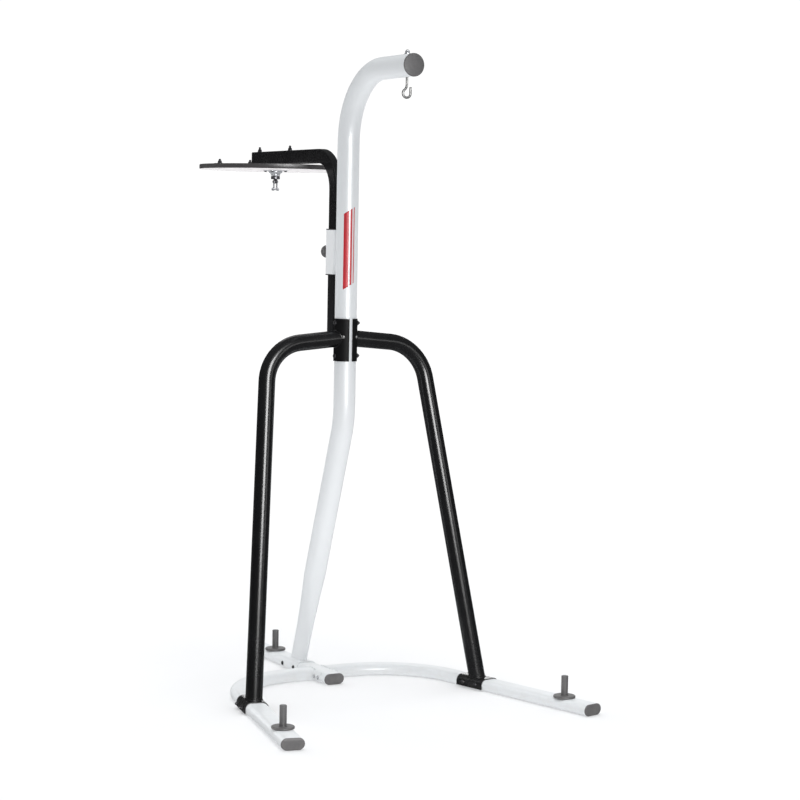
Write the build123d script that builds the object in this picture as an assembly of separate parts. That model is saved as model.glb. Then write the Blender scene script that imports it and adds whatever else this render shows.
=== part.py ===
"""Free-standing two-station boxing stand: a gooseneck arm with a hook for a
hanging bag at the front and an adjustable round drumming board with a swivel
for a small punching ball at the back.

Units are millimetres.  The parts are laid out from the axis of the upright
post and are moved when saved, so that the frame's origin lies on the floor
under the junction of the base tubes: +Z is up, the hook arm reaches towards
-Y, the round board is on the +Y side and +X is to the right when the stand is
seen from the hook side.
"""
from build123d import *
from math import sin, cos, tan, radians, degrees, sqrt, atan2, acos
import os

os.makedirs("parts", exist_ok=True)

# ------------------------------------------------- fits and shared sizes ----
GAP = 0.05                # running gap between touching pieces
PLUG_GAP = 0.15           # slack on each side of a plug or spigot
HOLE_GAP = 0.3            # bolt hole over bolt, on the radius
THREAD_GAP = 0.03         # nut bore over bolt, on the radius
WASHER_GAP = 0.1          # washer bore over bolt, on the radius
BOLT_R = 4.0
BOLT_HOLE_R = BOLT_R + HOLE_GAP
COUNTERSUNK_R = 9.0       # head radius of the countersunk bolts
SIDES = (-1, 1)           # left, right
UP, DOWN = (0, 0, 1), (0, 0, -1)
RIGHT, FRONT, BACK = (1, 0, 0), (0, -1, 0), (0, 1, 0)

# ------------------------------------------------------------------ post ----
JUNCTION_Y = 162.0        # base junction, behind the post axis
POST_R = 38.1             # 3 in round tube
POST_WALL = 2.0
POST_BORE_R = POST_R - POST_WALL
POST_SPLIT_Z = 1218.0     # where the upper post meets the lower post
FOOT_TOP_Z = 41.4         # the lower post stands on the foot saddle here

# ------------------------------------------------------------- clamp, legs --
CLAMP_Z0, CLAMP_Z1 = 1144.5, 1291.2
CLAMP_T = 3.0
CLAMP_R = POST_R + GAP + CLAMP_T
CLAMP_BOLT_Z = (1162.3, 1276.0)
SIDE_SCREW_Z = 1229.5
SIDE_SCREW_ANGLE = 38.0   # from straight ahead
SIDE_SCREW_R = 3.0

# ------------------------------------------------------------------- base ---
OVAL_W, OVAL_H = 76.2, 38.1   # flat-oval base tube, 3 x 1 1/2 in
OVAL_WALL = 2.0
BASE_Z = OVAL_H / 2
CAP_T = 5.0
PEG_SIDE = (529.3, -619.5)    # right peg; the left one mirrors it
PEG_REAR_Y = 511.8
PEG_STUD_R = 5.0
SADDLE_T = 3.0
BRIDGE_HALF_W = OVAL_W / 2 + SADDLE_T + 2 * GAP   # seat of the bolts across a saddle

# --------------------------------------------------- sleeve and board arm ---
TUBE_Y = 88.0                 # axis of the upright part of the board arm
TUBE_SIZE = (30.0, 50.0)      # outline in X and Y
TUBE_TOP_Z = 1879.2

# ------------------------------------------------------------------ board ---
BOARD_Y = 566.3
BOARD_R = 276.4
BOARD_Z0, BOARD_Z1 = 1809.8, 1825.8
BOARD_T = BOARD_Z1 - BOARD_Z0
ARM_BOLT_Y = (450.0, 700.0)
BOARD_BOLT_X = (97.0, 218.0)
STRAP_Y = 580.0               # cross strap and its four bolts
ARM_BOLTS_AT = [(0, y) for y in ARM_BOLT_Y]
BOARD_BOLTS_AT = [(side * x, STRAP_Y) for x in BOARD_BOLT_X for side in SIDES]


# ============================================================== helpers =====
def save(name, *pieces):
    """Move a node's solids into the stand's frame and write them."""
    moved = [Pos(0, -JUNCTION_Y, 0) * solid for piece in pieces for solid in piece.solids()]
    shape = moved[0] if len(moved) == 1 else Compound(children=moved)
    export_step(shape, "parts/" + name + ".step")


def mirror_x(shape):
    return mirror(shape, about=Plane.YZ)


def save_pair(left_name, left_piece):
    """Write a left piece and its mirror image on the right."""
    save(left_name, left_piece)
    save(left_name.replace("left", "right"), mirror_x(left_piece))


def plane_at(point, normal, x_dir=None):
    if x_dir is None:
        return Plane(origin=point, z_dir=normal)
    return Plane(origin=point, x_dir=x_dir, z_dir=normal)


def cylinder_up(radius, height):
    """Cylinder standing on the local origin."""
    return Cylinder(radius, height, align=(Align.CENTER, Align.CENTER, Align.MIN))


def rod(point, direction, radius, length):
    """Cylinder from point along direction."""
    return plane_at(point, direction) * cylinder_up(radius, length)


def rounded_path(corners, radius):
    """Straight runs joined by arcs of one radius."""
    points = [Vector(corner) for corner in corners]
    edges, last = [], points[0]
    for before, corner, after in zip(points, points[1:], points[2:]):
        back = (before - corner).normalized()
        ahead = (after - corner).normalized()
        half_angle = acos(back.dot(ahead)) / 2
        setback = radius / tan(half_angle)
        arc_start, arc_end = corner + back * setback, corner + ahead * setback
        middle = corner + (back + ahead).normalized() * (radius / sin(half_angle) - radius)
        edges.append(Edge.make_line(last, arc_start))
        edges.append(Edge.make_three_point_arc(arc_start, middle, arc_end))
        last = arc_end
    edges.append(Edge.make_line(last, points[-1]))
    return Wire(edges)


def sweep_outline(path, outline, x_dir=None):
    return sweep(plane_at(path @ 0, path % 0, x_dir) * outline, path=path)


def tube(path, outside, inside, x_dir=None):
    return sweep_outline(path, outside, x_dir) - sweep_outline(path, inside, x_dir)


def lathe(start, *steps):
    """Revolve a closed profile of (radius, height) points about +Z.  A step
    of two numbers is a straight line to that point, one of four is an arc
    through the first pair to the second."""
    edges, here = [], (start[0], 0, start[1])
    for step in (*steps, start):
        points = [(step[i], 0, step[i + 1]) for i in range(0, len(step), 2)]
        make_edge = Edge.make_line if len(points) == 1 else Edge.make_three_point_arc
        edges.append(make_edge(here, *points))
        here = points[-1]
    return revolve(Face(Wire(edges)), Axis.Z)


def hex_prism(flats, height):
    """Hexagon with chamfered corners; flats is the width across flats."""
    corner_r = flats / sqrt(3)
    drop = 0.55 * (corner_r - flats / 2)
    body = extrude(RegularPolygon(corner_r, 6), height)
    body &= lathe((0, 0), (flats / 2, 0), (corner_r + 0.5, drop + 0.3),
                  (corner_r + 0.5, height - drop - 0.3), (flats / 2, height), (0, height))
    return body


def nut(point, direction, flats, height, bolt_r=BOLT_R, x_dir=None):
    """Lock nut standing on point: a chamfered hexagon with a raised round top."""
    collar_r = flats / 2
    body = hex_prism(flats, height * 0.78) + lathe(
        (0, 0), (collar_r - 0.9, 0), (collar_r - 0.9, height * 0.8),
        (collar_r - 1.2, height * 0.97, collar_r - 2.6, height), (0, height))
    body -= Cylinder(bolt_r + THREAD_GAP, 4 * height)
    return plane_at(point, direction, x_dir) * body


def washer(point, radius, thickness, bolt_r=BOLT_R):
    """Flat washer lying on point."""
    ring = cylinder_up(radius, thickness) - Cylinder(bolt_r + WASHER_GAP, 4 * thickness)
    return plane_at(point, UP) * ring


def dome_bolt(point, direction, radius, length, head_r, head_h):
    """Round-head bolt: the head stands on point along direction, the shank runs back."""
    head = lathe((0, 0), (head_r, 0), (head_r, 0.9),
                 (head_r * 0.66, head_h * 0.78, 0.5, head_h), (0, head_h))
    body = head + Pos(0, 0, -length) * cylinder_up(radius, length + 0.5)
    # the envelope chamfers the shank's tip
    envelope = Pos(0, 0, -length) * lathe((0, 0), (radius - 0.7, 0), (radius + 1, 1.7),
                                          (radius + 1, length), (0, length))
    envelope += Pos(0, 0, -0.01) * cylinder_up(head_r + 2, head_h + 2)
    return plane_at(point, direction) * (body & envelope)


def flat_bolt(point, length):
    """Countersunk bolt pointing up, its flat head flush with point."""
    cone = COUNTERSUNK_R - BOLT_R
    body = lathe((0, 0), (COUNTERSUNK_R, 0), (COUNTERSUNK_R, -0.6), (BOLT_R, -0.6 - cone),
                 (BOLT_R, -length + 1.0), (BOLT_R - 0.8, -length), (0, -length))
    return plane_at(point, DOWN) * body


def countersink(point, length):
    """Cutter for the hole of a flat_bolt."""
    cone = COUNTERSUNK_R - BOLT_R
    slack, shank_r = 0.12, BOLT_R + 0.25
    head_r = COUNTERSUNK_R + slack
    return plane_at(point, DOWN) * lathe(
        (0, 1), (head_r, 1), (head_r, -0.6 - slack), (shank_r, -0.6 - cone - slack),
        (shank_r, -length), (0, -length))


def base_oval(grow=0.0):
    """Outline of the base tube, width along local X, grown on every side."""
    return SlotOverall(OVAL_W + 2 * grow, OVAL_H + 2 * grow)


def grown_rect(size, grow, corner_r):
    return RectangleRounded(size[0] + 2 * grow, size[1] + 2 * grow, corner_r)


def end_plug(flange_outline, flange_t, edge_r, plug_outline, hollow_outline, depth):
    """Flange with a softened face on +Z and a hollow plug running down -Z."""
    flange = extrude(flange_outline, flange_t)
    flange = fillet(flange.faces().sort_by(Axis.Z)[-1].edges(), edge_r)
    plug = extrude(plug_outline, -depth)
    hollow = Pos(0, 0, -depth) * extrude(hollow_outline, depth - 1)
    return flange + plug - hollow


def side_screw_dir(side):
    angle = radians(SIDE_SCREW_ANGLE)
    return Vector(side * sin(angle), -cos(angle), 0)


def drill_clamp(body, bolt_heights=CLAMP_BOLT_Z):
    """Cut the holes of the clamp's cross bolts and side screws."""
    for z in bolt_heights:
        body -= rod((-60, 0, z), RIGHT, BOLT_HOLE_R, 120)
    for side in SIDES:
        body -= rod((0, 0, SIDE_SCREW_Z), side_screw_dir(side), SIDE_SCREW_R + HOLE_GAP, 60)
    return body


def across_bolts(frame, places, head_side):
    """Two bolts across a base tube at local Y places: round head on the local
    X side head_side, lock nut on the other.  Returns bolts, nuts and holes."""
    bolts, nuts, holes = [], [], []
    for y in places:
        bolts.append(frame * dome_bolt((head_side * BRIDGE_HALF_W, y, BASE_Z), (head_side, 0, 0),
                                       BOLT_R, 2 * BRIDGE_HALF_W + 12, head_r=7.6, head_h=4.8))
        nuts.append(frame * nut((-head_side * BRIDGE_HALF_W, y, BASE_Z), (-head_side, 0, 0),
                                flats=13.0, height=8.0, x_dir=UP))
        holes.append(frame * rod((-BRIDGE_HALF_W - 20, y, BASE_Z), RIGHT,
                                 BOLT_HOLE_R, 2 * BRIDGE_HALF_W + 40))
    return bolts, nuts, holes[0] + holes[1]


def bridge_extrusion(outline, length):
    """Extrude an outline (across, up) along local Y, centred on the origin."""
    return Pos(0, length / 2, 0) * extrude(Plane.XZ * outline, length)


def skirt(width, bottom):
    """Rectangle from bottom up to the base tube's axis."""
    return Pos(0, bottom) * Rectangle(width, BASE_Z - bottom, align=(Align.CENTER, Align.MIN))


def bridge(length, skirt_z):
    """Inverted-U plate bent over a base tube, its skirts straight down to skirt_z."""
    inner_w = OVAL_W + 2 * GAP
    outer = Pos(0, BASE_Z) * base_oval(GAP + SADDLE_T) + skirt(inner_w + 2 * SADDLE_T, skirt_z)
    inner = Pos(0, BASE_Z) * base_oval(GAP) + skirt(inner_w, -5)
    above = Pos(0, skirt_z) * Rectangle(300, 100, align=(Align.CENTER, Align.MIN))
    return bridge_extrusion((outer - inner) & above, length)


# =========================================================== upper post =====
ARM_Z = 2135.4            # axis height of the hook arm
ARM_BEND_R = 237.0
ARM_END_Y = -440.0        # end of the tube, under the cap
HOOK_Y = -397.0
HOOK_R = 4.0              # rod radius of the hook bolt


def make_upper_post():
    path = rounded_path([(0, 0, POST_SPLIT_Z), (0, 0, ARM_Z), (0, ARM_END_Y, ARM_Z)], ARM_BEND_R)
    post = tube(path, Circle(POST_R), Circle(POST_BORE_R))
    post -= rod((0, HOOK_Y, ARM_Z - 60), UP, HOOK_R + 0.1, 120)
    return drill_clamp(post, CLAMP_BOLT_Z[1:])


def make_arm_cap():
    flange = lathe((0, 0), (POST_R, 0), (POST_R, 1.8), (POST_R - 0.7, 3.4, POST_R - 2.6, 4.1),
                   (POST_R * 0.5, 6.3, 1.0, 6.8), (0, 6.8))
    plug = Pos(0, 0, -24) * (cylinder_up(POST_BORE_R - PLUG_GAP, 24.5)
                             - cylinder_up(POST_BORE_R - 2.6, 22))
    return plane_at((0, ARM_END_Y - GAP, ARM_Z), FRONT) * (flange + plug)


save("upper_post", make_upper_post())
save("arm_end_cap", make_arm_cap())

# =========================================================== lower post =====
SPIGOT_TOP_Z = 1307.0         # the lower post's swaged end reaches this high
LOWER_BEND_Z = 938.0          # virtual corner of the lower post
LOWER_BEND_R = 307.0
FOOT_Y = 318.4                # where the lower post stands on the tail tube
FLAT_LEN = 95.0               # length squeezed flat at the foot
FLAT_BLEND = 345.0            # distance from the foot where squeezing begins
FLAT_X, FLAT_Y = 15.0, 51.0   # half sizes of the squeezed foot

post_foot = Vector(0, FOOT_Y, FOOT_TOP_Z)
lean = Vector(0, -FOOT_Y, LOWER_BEND_Z - FOOT_TOP_Z).normalized()   # up the post


def squeezed_foot(shrink, extra):
    """Round at the top of the blend, then a long narrow oval, thin across the
    stand and wide fore and aft, running extra past the foot."""
    def section(distance, outline):
        return plane_at(post_foot + lean * distance, lean, RIGHT) * outline

    flat = Ellipse(FLAT_X - shrink, FLAT_Y - shrink)
    top = section(FLAT_BLEND, Circle(POST_R - shrink))
    low = section(FLAT_LEN, flat)
    foot = section(-extra, extrude(flat, FLAT_LEN + extra))
    return loft([low, top]) + foot


def make_spigot():
    """Ring inside the tube's top that carries the narrower swaged end."""
    bore_r = POST_BORE_R - PLUG_GAP
    spigot = Pos(0, 0, POST_SPLIT_Z - 16) * cylinder_up(POST_R - 1.0, 15.4)
    spigot += Pos(0, 0, POST_SPLIT_Z - 2) * cylinder_up(bore_r, SPIGOT_TOP_Z - POST_SPLIT_Z + 2)
    spigot -= Pos(0, 0, POST_SPLIT_Z - 40) * cylinder_up(bore_r - POST_WALL, 200)
    return spigot


def make_lower_post():
    path = rounded_path([(0, 0, POST_SPLIT_Z - 0.6), (0, 0, LOWER_BEND_Z),
                         post_foot + lean * FLAT_BLEND], LOWER_BEND_R)
    outside = sweep_outline(path, Circle(POST_R)) + squeezed_foot(0.0, 40.0)
    inside = sweep_outline(path, Circle(POST_BORE_R)) + squeezed_foot(POST_WALL, 45.0)
    post = outside - inside
    post += make_spigot()
    # trimmed level where it stands on the foot saddle
    post -= Pos(0, FOOT_Y, FOOT_TOP_Z) * Box(
        200, 400, 120, align=(Align.CENTER, Align.CENTER, Align.MAX))
    return drill_clamp(post)


save("lower_post", make_lower_post())

# ================================================================ clamp =====
CLAMP_GAP = 6.3           # half of the gap between the two shells


def make_clamp_shell():
    """Left half of the ring around the post."""
    height = CLAMP_Z1 - CLAMP_Z0
    ring = Pos(0, 0, CLAMP_Z0) * (cylinder_up(CLAMP_R, height)
                                  - Cylinder(POST_R + GAP, height * 3))
    left_half = Pos(-CLAMP_GAP, 0, CLAMP_Z0 + height / 2) * Box(
        100, 200, 400, align=(Align.MAX, Align.CENTER, Align.CENTER))
    return drill_clamp(ring) & left_half


save_pair("clamp_shell_left", make_clamp_shell())
save("clamp_bolts", *[
    dome_bolt((-CLAMP_R - GAP, 0, z), (-1, 0, 0), BOLT_R, 2 * CLAMP_R + 13, head_r=9.0, head_h=5.5)
    for z in CLAMP_BOLT_Z])
save("clamp_nuts", *[
    nut((CLAMP_R + GAP, 0, z), RIGHT, flats=15.0, height=9.0, x_dir=UP) for z in CLAMP_BOLT_Z])
save("clamp_side_screws", *[
    dome_bolt(side_screw_dir(side) * (CLAMP_R + GAP) + Vector(0, 0, SIDE_SCREW_Z),
              side_screw_dir(side), SIDE_SCREW_R, 14, head_r=5.8, head_h=4.2)
    for side in SIDES])

# ============================================================== base ========
BASE_FRONT = (558.5, -749.7)  # face of the right front end cap
BASE_DIR = (29.2, 130.2)      # plan direction of the left side run, towards the back
BASE_BEND_R = 300.0
SADDLE_LEN = 124.0
SADDLE_Y = -208.0
SADDLE_SKIRT_Z = 5.0
SADDLE_BOLT_INSET = 31.0      # from each end of the leg saddle
BRACKET_Y = (74.0, 204.0)
BRACKET_BOLT_Y = (87.0, 114.5)
BRACKET_HALF_ANGLE = 56.0     # of the curl, either side of level
PEG_HOLE_R = PEG_STUD_R + HOLE_GAP

side_run = Vector(*BASE_DIR, 0).normalized()
side_across = (side_run.Y, -side_run.X, 0)
left_tube_front = Vector(-BASE_FRONT[0], BASE_FRONT[1], BASE_Z) + side_run * CAP_T


def side_run_x(y):
    """X of the left side run's axis at a given Y."""
    return -BASE_FRONT[0] + side_run.X * ((y - BASE_FRONT[1]) / side_run.Y)


saddle_frame = plane_at((side_run_x(SADDLE_Y), SADDLE_Y, 0), UP, side_across)
saddle_bolt_y = SADDLE_LEN / 2 - SADDLE_BOLT_INSET
# heads face inwards on both sides, nuts outwards
saddle_bolts, saddle_nuts, saddle_holes = across_bolts(
    saddle_frame, (saddle_bolt_y, -saddle_bolt_y), head_side=1)
bracket_bolts, bracket_nuts, bracket_holes = across_bolts(Plane.XY, BRACKET_BOLT_Y, head_side=-1)


def make_base_tube():
    """Left base tube, cut off clear of the tail tube."""
    path = rounded_path([left_tube_front, (side_run_x(JUNCTION_Y), JUNCTION_Y, BASE_Z),
                         (-20, JUNCTION_Y, BASE_Z)], BASE_BEND_R)
    tail_zone = Plane.XZ.offset(-800) * (Pos(0, BASE_Z) * base_oval(SADDLE_T + PLUG_GAP))
    base = tube(path, base_oval(), base_oval(-OVAL_WALL), side_across) - extrude(tail_zone, 1600)
    base -= saddle_holes
    base -= rod((-PEG_SIDE[0], PEG_SIDE[1], 24), UP, PEG_HOLE_R, 30)
    return base


def make_base_bracket():
    """Plate at the left tube's inner end, curled around the tail tube's side."""
    length = BRACKET_Y[1] - BRACKET_Y[0]
    axis_x = -(OVAL_W / 2 - BASE_Z)
    curl = Pos(axis_x, BRACKET_Y[0], BASE_Z) * (Rot(-90, 0, 0) * (
        cylinder_up(BASE_Z + GAP + SADDLE_T, length) - Cylinder(BASE_Z + GAP, length * 3)))
    reach = 60
    rise = reach * tan(radians(BRACKET_HALF_ANGLE))
    triangle = Polyline((0, 0), (-reach, rise), (-reach, -rise), close=True)
    wedge = extrude(Plane.XZ * make_face(triangle.edges()), 700, both=True)
    curl &= Pos(axis_x, 0, BASE_Z) * wedge
    curl -= bracket_holes
    return curl


save_pair("base_left_tube", make_base_tube())
save_pair("base_left_bracket", make_base_bracket())
save("bracket_bolts", *bracket_bolts)
save("bracket_nuts", *bracket_nuts)
save_pair("left_leg_saddle", saddle_frame * bridge(SADDLE_LEN, SADDLE_SKIRT_Z) - saddle_holes)
save("saddle_bolts", *saddle_bolts, *map(mirror_x, saddle_bolts))
save("saddle_nuts", *saddle_nuts, *map(mirror_x, saddle_nuts))

# ============================================================== legs ========
LEG_R = 28.6                  # 2 1/4 in round tube
LEG_WALL = 2.0
LEG_TOP_Z = 1225.0            # leg axis height at the post axis
LEG_CORNER = (296.0, 0.0, 1198.5)
LEG_BEND_R = 148.0
LEG_FOOT = (434.0, -210.4, 41.0)
LEG_START_X = 20.0            # the untrimmed tube starts inside the clamp
LEG_RUNOUT = 30.0             # and drops this far below the foot point
LEG_SPLAY = (0.1167, 0.1818)  # outward and forward run of that piece per unit of drop


def make_leg():
    """Left leg, trimmed to the clamp at the top and to the saddle at the foot."""
    fall = (LEG_TOP_Z - LEG_CORNER[2]) / LEG_CORNER[0]
    path = rounded_path([
        (-LEG_START_X, 0, LEG_TOP_Z - LEG_START_X * fall),
        (-LEG_CORNER[0], LEG_CORNER[1], LEG_CORNER[2]),
        (-LEG_FOOT[0] - LEG_SPLAY[0] * LEG_RUNOUT, LEG_FOOT[1] - LEG_SPLAY[1] * LEG_RUNOUT,
         LEG_FOOT[2] - LEG_RUNOUT)], LEG_BEND_R)
    leg = tube(path, Circle(LEG_R), Circle(LEG_R - LEG_WALL))
    leg -= Pos(0, 0, 1000) * cylinder_up(CLAMP_R + GAP, 500)
    saddle_block = (Pos(0, BASE_Z) * base_oval(SADDLE_T + 2 * GAP)
                    + skirt(OVAL_W + 2 * GAP + 2 * SADDLE_T, -5))
    leg -= saddle_frame * bridge_extrusion(saddle_block, 400)
    # the cuts leave offcuts; the leg is the largest piece
    return max(leg.solids(), key=lambda solid: solid.volume)


save_pair("left_leg", make_leg())

# ============================================================== tail ========
TAIL_FRONT_Y, TAIL_REAR_Y = 38.5, 645.0   # faces of the tail's end caps
FOOT_SADDLE_Y = (258.0, 390.0)
FOOT_SKIRT_Z = 9.0
FOOT_BOLT_Y = (280.5, 367.5)

foot_bolts, foot_nuts, foot_holes = across_bolts(Plane.XY, FOOT_BOLT_Y, head_side=-1)


def make_tail_tube():
    path = Wire([Edge.make_line((0, TAIL_FRONT_Y + CAP_T, BASE_Z),
                                (0, TAIL_REAR_Y - CAP_T, BASE_Z))])
    tail = tube(path, base_oval(), base_oval(-OVAL_WALL), RIGHT)
    tail -= bracket_holes
    tail -= foot_holes
    tail -= rod((0, PEG_REAR_Y, 24), UP, PEG_HOLE_R, 30)
    return tail


def make_foot_saddle():
    front, rear = FOOT_SADDLE_Y
    return Pos(0, (front + rear) / 2, 0) * bridge(rear - front, FOOT_SKIRT_Z) - foot_holes


save("tail_tube", make_tail_tube())
save("post_foot_saddle", make_foot_saddle())
save("foot_bolts", *foot_bolts)
save("foot_nuts", *foot_nuts)


# ============================================================ end caps ======
def oval_cap(point, outward):
    """Plug for a base tube's end; outward points out of the tube."""
    across = Vector(outward).cross(Vector(UP))
    return plane_at(point, outward, across) * end_plug(
        base_oval(), CAP_T - GAP, 2.2,
        base_oval(-OVAL_WALL - PLUG_GAP), base_oval(-OVAL_WALL - 2.5), depth=22)


left_cap = oval_cap(left_tube_front - side_run * GAP, side_run * -1)
save("base_end_caps", left_cap, mirror_x(left_cap),
     oval_cap((0, TAIL_FRONT_Y + CAP_T - GAP, BASE_Z), FRONT),
     oval_cap((0, TAIL_REAR_Y - CAP_T + GAP, BASE_Z), BACK))

# ========================================================= weight pegs ======
PEG_R = 11.6                  # peg for weight discs with a 1 in hole
PEG_TOP_Z = 112.5
DISC_R, DISC_T = 37.5, 8.0
DISC_Z = OVAL_H + GAP
PEG_Z = DISC_Z + DISC_T + GAP
PEG_NUT_H = 8.0
PEGS_AT = [(-PEG_SIDE[0], PEG_SIDE[1]), PEG_SIDE, (0, PEG_REAR_Y)]


def make_peg():
    """Peg standing on the local origin, its stud reaching down to Z = 25."""
    height = PEG_TOP_Z - PEG_Z
    stud_len = PEG_Z - 25
    body = lathe((0, 0), (PEG_R + 3.2, 0), (PEG_R + 0.75, 1.0, PEG_R, 4.0), (PEG_R, height - 1.8),
                 (PEG_R - 0.5, height - 0.5, PEG_R - 1.8, height), (0, height))
    return body + Pos(0, 0, -stud_len) * cylinder_up(PEG_STUD_R, stud_len + 1)


def make_disc():
    return lathe((PEG_HOLE_R, 0), (DISC_R - 2.5, 0), (DISC_R - 0.6, 0.8, DISC_R, 2.8),
                 (DISC_R, DISC_T - 3.2), (DISC_R - 0.9, DISC_T - 0.9, DISC_R - 3.2, DISC_T),
                 (PEG_HOLE_R, DISC_T))


def make_peg_nut():
    return hex_prism(17, PEG_NUT_H) - Cylinder(PEG_STUD_R + THREAD_GAP, 40)


PEG_NUT_Z = OVAL_H - OVAL_WALL - GAP - PEG_NUT_H    # under the tube's top wall
save("weight_pegs", *[Pos(x, y, PEG_Z) * make_peg() for x, y in PEGS_AT])
save("peg_discs", *[Pos(x, y, DISC_Z) * make_disc() for x, y in PEGS_AT])
save("peg_nuts", *[Pos(x, y, PEG_NUT_Z) * make_peg_nut() for x, y in PEGS_AT])

# ================================================================ hook ======
THROAT_Z = 2045.5         # centre of the hook's throat
THROAT_R = 14.2           # rod axis radius round the throat
NECK_R = 20.0             # swan-neck radius above it
HOOK_TIP_LEN = 21.0       # straight end of the hook
ARM_TOP_Z = ARM_Z + POST_R
HOOK_STICKOUT = 13.5      # bolt above the arm
HOOK_WASHER_T = 1.8


def make_hook():
    # the neck arc, centred left of the axis, is tangent to the throat arc
    rise = sqrt(2 * NECK_R * THROAT_R + THROAT_R ** 2)
    neck_z = THROAT_Z + rise
    neck_angle = degrees(atan2(rise, NECK_R))

    def on_arc(x, z, radius, angle):
        return Vector(x + radius * cos(radians(angle)), HOOK_Y, z + radius * sin(radians(angle)))

    top = Vector(0, HOOK_Y, ARM_TOP_Z + HOOK_STICKOUT)
    neck = Vector(0, HOOK_Y, neck_z)
    tangent = on_arc(-NECK_R, neck_z, NECK_R, -neck_angle)
    side = on_arc(0, THROAT_Z, THROAT_R, 0)
    tip = side + Vector(0, 0, HOOK_TIP_LEN)
    path = Wire([
        Edge.make_line(top, neck),
        Edge.make_three_point_arc(
            neck, on_arc(-NECK_R, neck_z, NECK_R, -neck_angle / 2), tangent),
        Edge.make_three_point_arc(tangent, on_arc(0, THROAT_Z, THROAT_R, 250), side),
        Edge.make_line(side, tip)])
    hook = sweep(plane_at(top, DOWN) * Circle(HOOK_R), path=path)
    hook = fillet(hook.edges().sort_by(lambda edge: (edge.center() - tip).length)[0], 2.4)
    return chamfer(hook.edges().sort_by(lambda edge: (edge.center() - top).length)[0], 1.0)


save("hook_bolt", make_hook())
save("hook_washer", washer((0, HOOK_Y, ARM_TOP_Z + GAP), 10.5, HOOK_WASHER_T, bolt_r=HOOK_R))
save("hook_nut", nut((0, HOOK_Y, ARM_TOP_Z + HOOK_WASHER_T + 2 * GAP), UP,
                     flats=16.0, height=9.0, bolt_r=HOOK_R))

# ============================================================== sleeve ======
SLEEVE_SIZE = (43.0, 63.0)    # outline in X and Y
SLEEVE_WALL = 3.0
SLEEVE_Z0, SLEEVE_Z1 = 1442.0, 1596.0
SLEEVE_LEN = SLEEVE_Z1 - SLEEVE_Z0
SLEEVE_REAR_Y = TUBE_Y + SLEEVE_SIZE[1] / 2
WEB_X, WEB_T = 11, 4
WEB_INSET = 12                # from each end of the sleeve
COLLAR_T = 3.5
BUSH_LEN = 54.0
KNOB_Z = 1520.0
SCREW_R = 5.0                 # knob screw


def make_sleeve():
    """Sleeve for the board arm, stood off the round post by two weld plates."""
    sleeve = Pos(0, TUBE_Y, SLEEVE_Z0) * (
        extrude(grown_rect(SLEEVE_SIZE, 0, 6.0), SLEEVE_LEN)
        - extrude(grown_rect(SLEEVE_SIZE, -SLEEVE_WALL, 3.2), SLEEVE_LEN * 3, both=True))
    for side in SIDES:
        web = Pos(side * WEB_X, POST_R - 6, SLEEVE_Z0 + WEB_INSET) * Box(
            WEB_T, TUBE_Y - SLEEVE_SIZE[1] / 2 - POST_R + 7, SLEEVE_LEN - 2 * WEB_INSET,
            align=(Align.CENTER, Align.MIN, Align.MIN))
        web -= Pos(0, 0, 1000) * cylinder_up(POST_R + GAP, 1000)
        sleeve += web
    sleeve -= rod((0, SLEEVE_REAR_Y - 8, KNOB_Z), BACK, SCREW_R + 0.5, 20)
    return sleeve


def make_knob_boss():
    bore_r = SCREW_R + 0.04
    return plane_at((0, SLEEVE_REAR_Y + GAP, KNOB_Z), BACK) * lathe(
        (bore_r, 0), (10.5, 0), (10.5, 6.6), (10.1, 7.7, 9.0, 8.0), (bore_r, 8.0))


def make_bush():
    """Liner hanging into the sleeve from a collar on the local origin."""
    liner = Pos(0, 0, 1) * extrude(grown_rect(SLEEVE_SIZE, -SLEEVE_WALL - 0.1, 3.1), -BUSH_LEN)
    collar = extrude(grown_rect(SLEEVE_SIZE, 0.3, 6.2), COLLAR_T)
    collar = fillet(collar.faces().sort_by(Axis.Z)[-1].outer_wire().edges(), 1.0)
    bush = liner + Pos(0, 0, GAP) * collar
    bush -= extrude(grown_rect(TUBE_SIZE, 0.12, 4.0), 400, both=True)
    return bush


save("arm_sleeve", make_sleeve())
save("knob_boss", make_knob_boss())
save("sleeve_bush_top", Pos(0, TUBE_Y, SLEEVE_Z1) * make_bush())
save("sleeve_bush_bottom", Pos(0, TUBE_Y, SLEEVE_Z0) * (Rot(180, 0, 0) * make_bush()))

# ================================================================ knob ======
KNOB_R = 22.0
KNOB_SOCKET = 21.5            # depth of the screw's socket in the handle
KNOB_FLUTES = 10
HUB_Y = SLEEVE_REAR_Y + 11.0  # front face of the handle


def make_knob_screw():
    tip_y = TUBE_Y + TUBE_SIZE[1] / 2 + 0.3
    length = HUB_Y + KNOB_SOCKET - 0.1 - tip_y
    return plane_at((0, tip_y, KNOB_Z), BACK) * lathe(
        (0, 0), (SCREW_R - 1.2, 0), (SCREW_R, 1.5), (SCREW_R, length), (0, length))


def make_knob_handle():
    bore_r = SCREW_R + 0.04
    handle = lathe(
        (bore_r, 0), (9.0, 0), (9.6, 5.0), (12.8, 10.2, KNOB_R - 1.4, 13.0),
        (KNOB_R - 0.25, 14.4, KNOB_R, 16.2), (KNOB_R, 20.0),
        (KNOB_R - 0.7, 23.2, KNOB_R - 4.0, 25.2), (10.0, 28.0, 1.0, 29.0), (0, 29.0),
        (0, KNOB_SOCKET), (bore_r, KNOB_SOCKET))
    flute_at = KNOB_R + 3.4
    for i in range(KNOB_FLUTES):
        angle = radians(360 / KNOB_FLUTES * i)
        handle -= Pos(flute_at * cos(angle), flute_at * sin(angle), 11) * cylinder_up(4.4, 34)
    return plane_at((0, HUB_Y, KNOB_Z), BACK) * handle


save("knob_screw", make_knob_screw())
save("knob_handle", make_knob_handle())

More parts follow.
